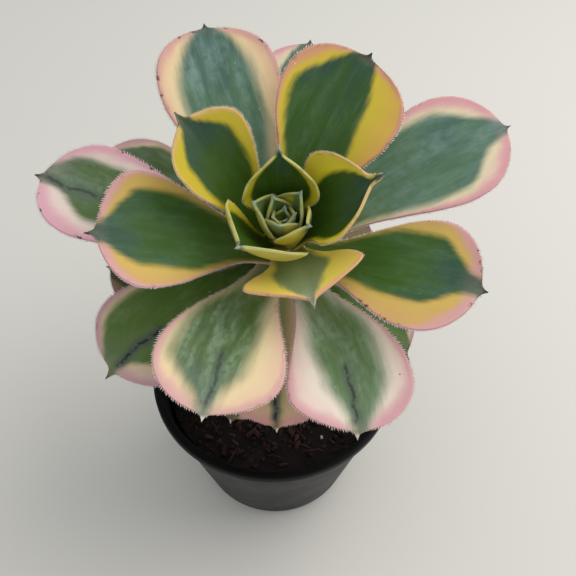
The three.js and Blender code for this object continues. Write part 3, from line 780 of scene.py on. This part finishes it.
def grow(piece, leaf, place):
    """Bends a copy of the flat blade into the leaf, and charts its skin for the pigment."""
    mesh = piece.data
    rim = kdtree.KDTree(2 * RIM_SAMPLES)
    for i in range(RIM_SAMPLES):
        s = (i + 0.5) / RIM_SAMPLES
        half = half_width(leaf, s)
        rim.insert((s * leaf["length"], half, 0), 2 * i)
        rim.insert((s * leaf["length"], -half, 0), 2 * i + 1)
    rim.balance()
    chart, green, margin, under = [], [], [], []
    for vertex in mesh.vertices:
        # columns crowd towards the rims, and rows towards the tip
        t = -vertex.co.x * (1.35 - 0.35 * vertex.co.x ** 2)
        s = 1 - (0.5 - 0.5 * vertex.co.y) ** 1.35
        side = vertex.co.z
        flat = (s * leaf["length"], t * half_width(leaf, s), 0)
        chart.append((0.5 + flat[1] / CHART, flat[0] / CHART))
        green.append(green_reach(leaf, s, t))
        margin.append(0.0 if abs(t) > 0.999 else rim.find(flat)[2])
        under.append(1 - side)
        vertex.co = place @ skin_point(leaf, s, t, side)
    chart_skin(mesh, chart, green, margin, under)
    apply_modifier(piece, "SUBSURF", levels=1, render_levels=1)


def add_teeth(piece, leaf, place, draw):
    """Sets copies of one small cone along both margins, leaning towards the tip."""
    points, faces, chart, off_rim = [], [], [], []
    size = max(0.3, min(1, leaf["length"] / 60))
    for side in (-1, 1):
        s = FIRST_TOOTH
        while s < LAST_TOOTH:
            here = skin_point(leaf, s, side, 0.5)
            onward = (skin_point(leaf, s + NUDGE, side, 0.5) - here) / NUDGE
            inward = skin_point(leaf, s, 0.9 * side, 0.5)
            forward = onward.normalized()
            outward = (here - inward).normalized()
            outward = (outward - outward.dot(forward) * forward).normalized()
            slant = TOOTH_SLANT * draw.uniform(0.5, 1.4)
            up = math.cos(slant) * outward + math.sin(slant) * forward
            wide = forward.cross(outward)
            along = up.cross(wide)
            length = size * TOOTH_LENGTH * draw.uniform(0.65, 1.15)
            stance = Matrix((along, wide, up)).transposed()
            first = len(points)
            for corner in tooth_corners:
                points.append(place @ (here + stance @ (MM * length * corner)))
            faces.extend(tuple(first + index for index in face) for face in tooth_faces)
            map_point = (0.5 + side * half_width(leaf, s) / CHART, s * leaf["length"] / CHART)
            for corner in tooth_corners:
                chart.append(map_point)
                off_rim.append(-max(0.02, corner.z))
            s += size * TOOTH_PITCH * draw.uniform(0.75, 1.25) * MM / onward.length
    mesh = bpy.data.meshes.new("teeth")
    mesh.from_pydata(points, [], faces)
    count = len(points)
    chart_skin(mesh, chart, [FAR_FROM_GREEN] * count, off_rim, [TOOTH_UNDERSIDE] * count)
    mesh.materials.append(piece.data.materials[0])
    select_only(piece, add_piece("teeth", mesh))
    bpy.ops.object.join()


# One tooth: a slim four-sided cone, one unit long above its root.
bpy.ops.object.select_all(action="DESELECT")
bpy.ops.mesh.primitive_cone_add(vertices=4, radius1=0.34, radius2=0, depth=1.3, location=(0, 0, 0.35))
bpy.ops.object.transform_apply(location=True)
cone = bpy.context.object
tooth_corners = [Vector((vertex.co.x, 0.6 * vertex.co.y, vertex.co.z)) for vertex in cone.data.vertices]
tooth_faces = [tuple(face.vertices) for face in cone.data.polygons]
bpy.data.objects.remove(cone)

# The flat blade: a grid one unit thick, from -1 to 1 across and along.
bpy.ops.mesh.primitive_grid_add(x_subdivisions=BLADE_COLUMNS, y_subdivisions=BLADE_ROWS, size=2)
flat_blade = start_piece("flat_blade")
edit_whole()
bpy.ops.mesh.extrude_region_move(TRANSFORM_OT_translate={"value": (0, 0, 1)})
face_outward()
for layer in list(flat_blade.data.uv_layers):
    flat_blade.data.uv_layers.remove(layer)

# The pigment of a leaf, from its chart: how far a point is from the border of the green, from the rim
# and from the base.
variegation = bpy.data.node_groups.new("variegation", "ShaderNodeTree")
COLOUR_SOCKETS = ("Base Green", "Green", "Tip Green", "Bloom Colour", "Inner Margin", "Outer Margin",
                  "Edge", "Point")
for name in COLOUR_SOCKETS:
    variegation.interface.new_socket(name, in_out="INPUT", socket_type="NodeSocketColor")
for name, value in (("Length", 60), ("Seed", 0), ("Edge Width", 2), ("Softness", 1.1), ("Wobble", 1.2),
                    ("Streaks", 0.4), ("Bloom", 0.25), ("Scar", 0), ("Scar From", 0.5), ("Scar To", 0.9),
                    ("Specks", 0.5), ("Dried", 0), ("Edge From", 0.3)):
    made = variegation.interface.new_socket(name, in_out="INPUT", socket_type="NodeSocketFloat")
    made.default_value = value
for name, kind in (("Colour", "Color"), ("Roughness", "Float"), ("Height", "Float")):
    variegation.interface.new_socket(name, in_out="OUTPUT", socket_type="NodeSocket" + kind)
tree = variegation
given = tree.nodes.new("NodeGroupInput").outputs
result = tree.nodes.new("NodeGroupOutput").inputs


def maths(operation, *values):
    inputs = dict(enumerate(values))
    return node(tree, "Math", inputs, operation=operation).outputs[0]


def times(value, other):
    return maths("MULTIPLY", value, other)


def step(value, low, high):
    """0 below low, 1 above high, smooth between."""
    return ramp(tree, value, low, high, interpolation_type="SMOOTHSTEP")


def tinge(share, colour, other):
    """Lays the other colour over the first, as thickly as the share says."""
    return mix_paint(tree, share, colour, other)


def cloudy(across, along, shift, detail=3):
    """Noise over the blade, with its own scale across and along, in cycles per millimetre."""
    place = node(tree, "CombineXYZ", {
        "X": times(blade_across, across),
        "Y": times(blade_along, along),
        "Z": maths("ADD", given["Seed"], shift)}).outputs[0]
    fibres = {"Vector": place, "Scale": 1, "Detail": detail, "Roughness": 0.55}
    return node(tree, "TexNoise", fibres).outputs["Fac"]


blade_chart = node(tree, "UVMap", uv_map="blade").outputs["UV"]
chart_split = node(tree, "SeparateXYZ", {"Vector": blade_chart}).outputs
blade_across = times(maths("SUBTRACT", chart_split["X"], 0.5), CHART)
blade_along = times(chart_split["Y"], CHART)
blade_share = maths("DIVIDE", blade_along, given["Length"])
to_green = node(tree, "Attribute", attribute_name="green").outputs["Fac"]
to_rim = node(tree, "Attribute", attribute_name="rim").outputs["Fac"]
underside = node(tree, "Attribute", attribute_name="underside").outputs["Fac"]

streak = cloudy(0.5, 0.05, 0)
fine_streak = cloudy(1.6, 0.09, 3)
cloud = cloudy(0.10, 0.07, 7)
mottle = cloudy(0.45, 0.4, 11, detail=5)

# the border of the green wanders, with streaks of it running on into the margin
wander = times(maths("SUBTRACT", streak, 0.5), times(given["Wobble"], 2.4))
wander = maths("ADD", wander, times(maths("SUBTRACT", mottle, 0.5), given["Wobble"]))
inside = maths("ADD", to_green, wander)
soft = given["Softness"]
is_green = step(inside, times(soft, -1), soft)

green = tinge(step(blade_share, 0.05, 0.5), given["Base Green"], given["Green"])
near_tip = step(maths("ADD", blade_share, maths("SUBTRACT", cloud, 0.5)), 0.5, 1.0)
green = tinge(near_tip, green, given["Tip Green"])
haze = cloudy(0.28, 0.07, 29, detail=4)
veil = times(step(haze, 0.32, 0.78), step(mottle, 0.2, 0.6))
green = tinge(times(veil, given["Bloom"]), green, given["Bloom Colour"])
pale_line = times(step(fine_streak, 0.52, 0.72), times(given["Streaks"], 0.4))
green = tinge(pale_line, green, given["Bloom Colour"])
dark_line = times(step(fine_streak, 0.46, 0.28), times(given["Streaks"], 0.5))
green = tinge(dark_line, green, tinge(0.5, green, (0.006, 0.016, 0.006, 1)))

outside = maths("MAXIMUM", times(to_green, -1), 0)
across_margin = maths("DIVIDE", outside, maths("ADD", maths("ADD", outside, to_rim), 0.3))
across_margin = maths("ADD", across_margin, times(maths("SUBTRACT", cloud, 0.5), 0.7))
margin = tinge(step(across_margin, 0.1, 0.95), given["Inner Margin"], given["Outer Margin"])
colour = tinge(is_green, margin, green)

edge_growth = step(blade_share, given["Edge From"], 0.95)
edge_width = times(given["Edge Width"], maths("ADD", 0.06, edge_growth))
edge_width = times(edge_width, maths("MULTIPLY_ADD", cloud, 2.6, -0.3))
at_edge = step(to_rim, edge_width, times(edge_width, 0.08))
edge_share = times(at_edge, maths("SUBTRACT", 0.85, times(is_green, 0.76)))
colour = tinge(edge_share, colour, given["Edge"])
short_of_tip = maths("SUBTRACT", given["Length"], blade_along)
to_tip = node(tree, "CombineXYZ", {"X": blade_across, "Y": short_of_tip}).outputs[0]
to_tip = node(tree, "VectorMath", {0: to_tip}, operation="LENGTH").outputs["Value"]
at_point = step(to_tip, 2.1, 0.7)
colour = tinge(at_point, colour, given["Point"])

# a corky scar along the midrib, in a broad grey band of painted shade along the midrib's crease
scar_line = maths("ADD", blade_across, times(maths("SUBTRACT", cloudy(0, 0.12, 17), 0.5), 5))
scar_near = step(maths("ABSOLUTE", scar_line), 0.75, 0.25)
scar_span = times(step(blade_share, given["Scar From"], maths("ADD", given["Scar From"], 0.06)),
                  step(blade_share, given["Scar To"], maths("SUBTRACT", given["Scar To"], 0.05)))
scar_torn = step(cloudy(0.9, 0.5, 23, detail=4), 0.34, 0.5)
scar_here = times(scar_near, scar_span)
scar = times(scar_here, times(scar_torn, given["Scar"]))
midrib_shade_band = times(step(maths("ABSOLUTE", scar_line), 2.6, 0.4), times(scar_span, 0.9))
colour = tinge(times(midrib_shade_band, given["Scar"]), colour, paint(72, 84, 78))
colour = tinge(scar, colour, paint(38, 40, 34))

# short stretches of the rim are dried and brown
dry_rim = times(step(to_rim, 1.1, 0.35), step(cloudy(0.32, 0.32, 31), 0.58, 0.66))
colour = tinge(times(dry_rim, given["Dried"]), colour, paint(88, 58, 54))

# pale specks of dried water and dust, and a few dark pricks
place = node(tree, "TexCoord").outputs["Object"]
dots = node(tree, "TexVoronoi", {"Vector": place, "Scale": 260, "Randomness": 1})
dot_kind = node(tree, "SeparateColor", {"Color": dots.outputs["Color"]}).outputs
dot_distance = dots.outputs["Distance"]
pale_dot = times(step(dot_distance, 0.075, 0.04), step(dot_kind["Red"], 0.86, 0.88))
pale_dot = times(pale_dot, times(given["Specks"], 1.2))
colour = tinge(pale_dot, colour, paint(214, 220, 210))
dark_dot = times(step(dot_distance, 0.09, 0.05), step(dot_kind["Green"], 0.965, 0.975))
colour = tinge(times(dark_dot, given["Specks"]), colour, paint(70, 50, 44))

# the lower skin is paler and greyer, and the teeth are nearly colourless
colour = tinge(times(underside, 0.18), colour, paint(176, 176, 146))
tooth = step(to_rim, -0.05, -0.5)
colour = tinge(tooth, colour, tinge(0.6, given["Edge"], paint(232, 222, 212)))
tree.links.new(colour, result["Colour"])
tree.links.new(maths("ADD", 0.4, times(mottle, 0.16)), result["Roughness"])
relief = maths("ADD", times(fine_streak, 0.6), times(mottle, 0.4))
tree.links.new(maths("SUBTRACT", relief, times(scar, 0.8)), result["Height"])


def leaf_finish(name, leaf, greens, margin, habit):
    """The skin of one leaf: the shared pigment, set to this leaf's own colours and habits."""
    finish, shader = new_material(name + "_skin", 0.45, 0.2)
    shader.inputs["Subsurface Weight"].default_value = 0.12
    shader.inputs["Subsurface Radius"].default_value = (1.0, 0.7, 0.35)
    shader.inputs["Subsurface Scale"].default_value = 0.0016
    pigment = finish.node_tree.nodes.new("ShaderNodeGroup")
    pigment.node_tree = variegation
    for socket, colour in zip(COLOUR_SOCKETS, (*GREENS[greens], *MARGINS[margin])):
        pigment.inputs[socket].default_value = paint(*colour)
    scar = habit.get("scar", (0, 0.5, 0.9))
    own = {"Length": leaf["length"], "Seed": leaf["seed"], "Edge Width": habit.get("edge", 2.2),
           "Softness": habit.get("soft", 1.1), "Wobble": habit.get("wobble", 1.0),
           "Streaks": habit.get("streaks", 0.15), "Bloom": habit.get("bloom", 0.25),
           "Scar": scar[0], "Scar From": scar[1], "Scar To": scar[2], "Specks": habit.get("specks", 0.7),
           "Dried": habit.get("dried", 0.25), "Edge From": habit.get("edge_from", 0.3)}
    for socket, value in own.items():
        pigment.inputs[socket].default_value = value
    relief = {"Height": pigment.outputs["Height"], "Strength": 0.15, "Distance": 0.0004}
    bump = node(finish.node_tree, "Bump", relief)
    links = finish.node_tree.links
    links.new(pigment.outputs["Colour"], shader.inputs["Base Color"])
    links.new(pigment.outputs["Roughness"], shader.inputs["Roughness"])
    links.new(bump.outputs["Normal"], shader.inputs["Normal"])
    return finish


def make_leaf(name, leaf, place, greens, margin, habit, draw):
    """One finished leaf: the bent blade with its teeth and its own pigment."""
    mesh = flat_blade.data.copy()
    mesh.name = name
    piece = add_piece(name, mesh)
    grow(piece, leaf, place)
    piece.data.materials.append(leaf_finish(name, leaf, greens, margin, habit))
    add_teeth(piece, leaf, place, draw)
    piece.data.shade_smooth()
    return piece


rosette_place = Matrix.Translation(ROSETTE_CENTRE) @ Matrix.Rotation(ROSETTE_LEAN, 4, "X")
teeth_draw = random.Random(5)
for i, (name, outline, turn, rise, tip_rise, length, width, cup, sway) in enumerate(LEAVES):
    number = FIRST_LARGE_LEAF + i
    green_left, green_right, greens, margin = PATTERNS[name]
    leaf = dict(outline_of(outline), rise=rise, tip_rise=tip_rise, length=length, width=width, cup=cup,
                sway=sway, seed=3.7 * i, green_left=green_left, green_right=green_right)
    below = LEAF_SPACING * number
    facing = BLADE_UPPER_SHARE if rise > 0 else 1 - BLADE_UPPER_SHARE
    skin = facing * thickness(leaf, 0, 0) * abs(math.sin(math.radians(rise)))
    leaf["root"] = stem_radius(below) / MM + SEAT_GAP + skin
    azimuth = math.radians(FIRST_TURN + GOLDEN_ANGLE * number + turn)
    place = rosette_place @ Matrix.Translation((0, 0, -below)) @ Matrix.Rotation(azimuth, 4, "Z")
    piece = make_leaf("fringed_" + name, leaf, place, greens, margin, HABITS.get(name, {}), teeth_draw)
    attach(piece, "root")
    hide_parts(name)

# -------------------------------- the heart
# The eight smallest leaves stand close round the growing point, one inside the next, as a bud that is
# still opening. They are yellow-green, with pale grey-green tips and pale fringed rims.

HEART_FIRST = -4
HEART_LENGTH = 6.5
HEART_GROWTH = 1.6
HEART_SLIMNESS = 0.92
HEART_RISE = 86
HEART_OPENING = 1.6
HEART_CUP = 70
HEART_BULGE = 12
HEART_CORE = 6
HEART_HABIT = dict(specks=0, edge=0.9, soft=0.9, wobble=0.4, streaks=0.1, bloom=0.3)

heart_base = -stem_top / MM + 0.6
heart_leaves = []
for number in range(HEART_FIRST, HEART_LAST + 1):
    order = number - HEART_FIRST
    length = HEART_LENGTH + HEART_GROWTH * order
    stance = HEART_RISE - HEART_OPENING * order
    leaf = dict(outline_of("bud"), rise=stance - HEART_BULGE, tip_rise=stance + HEART_BULGE,
                length=length, width=HEART_SLIMNESS * length, cup=HEART_CUP, sway=0,
                seed=91 + 3.1 * order, green_left=(0.3, 0.2, 0.3, 0.8),
                green_right=(0.9, 0.8, 0.8, 0.9), root=0.6 + 0.32 * order)
    azimuth = math.radians(FIRST_TURN + GOLDEN_ANGLE * number)
    height = heart_base + blend(0.6, 0.1, order / 7) * HEART_CORE
    place = rosette_place @ Matrix.Translation((0, 0, height * MM)) @ Matrix.Rotation(azimuth, 4, "Z")
    name = "bud_leaf_" + str(order + 1)
    heart_leaves.append(make_leaf(name, leaf, place, "young", "sprout", HEART_HABIT, teeth_draw))
select_only(*heart_leaves)
bpy.ops.object.join()
heart = start_piece("heart_leaves")
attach(heart, "root")
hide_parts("heart")

bpy.data.objects.remove(flat_blade)
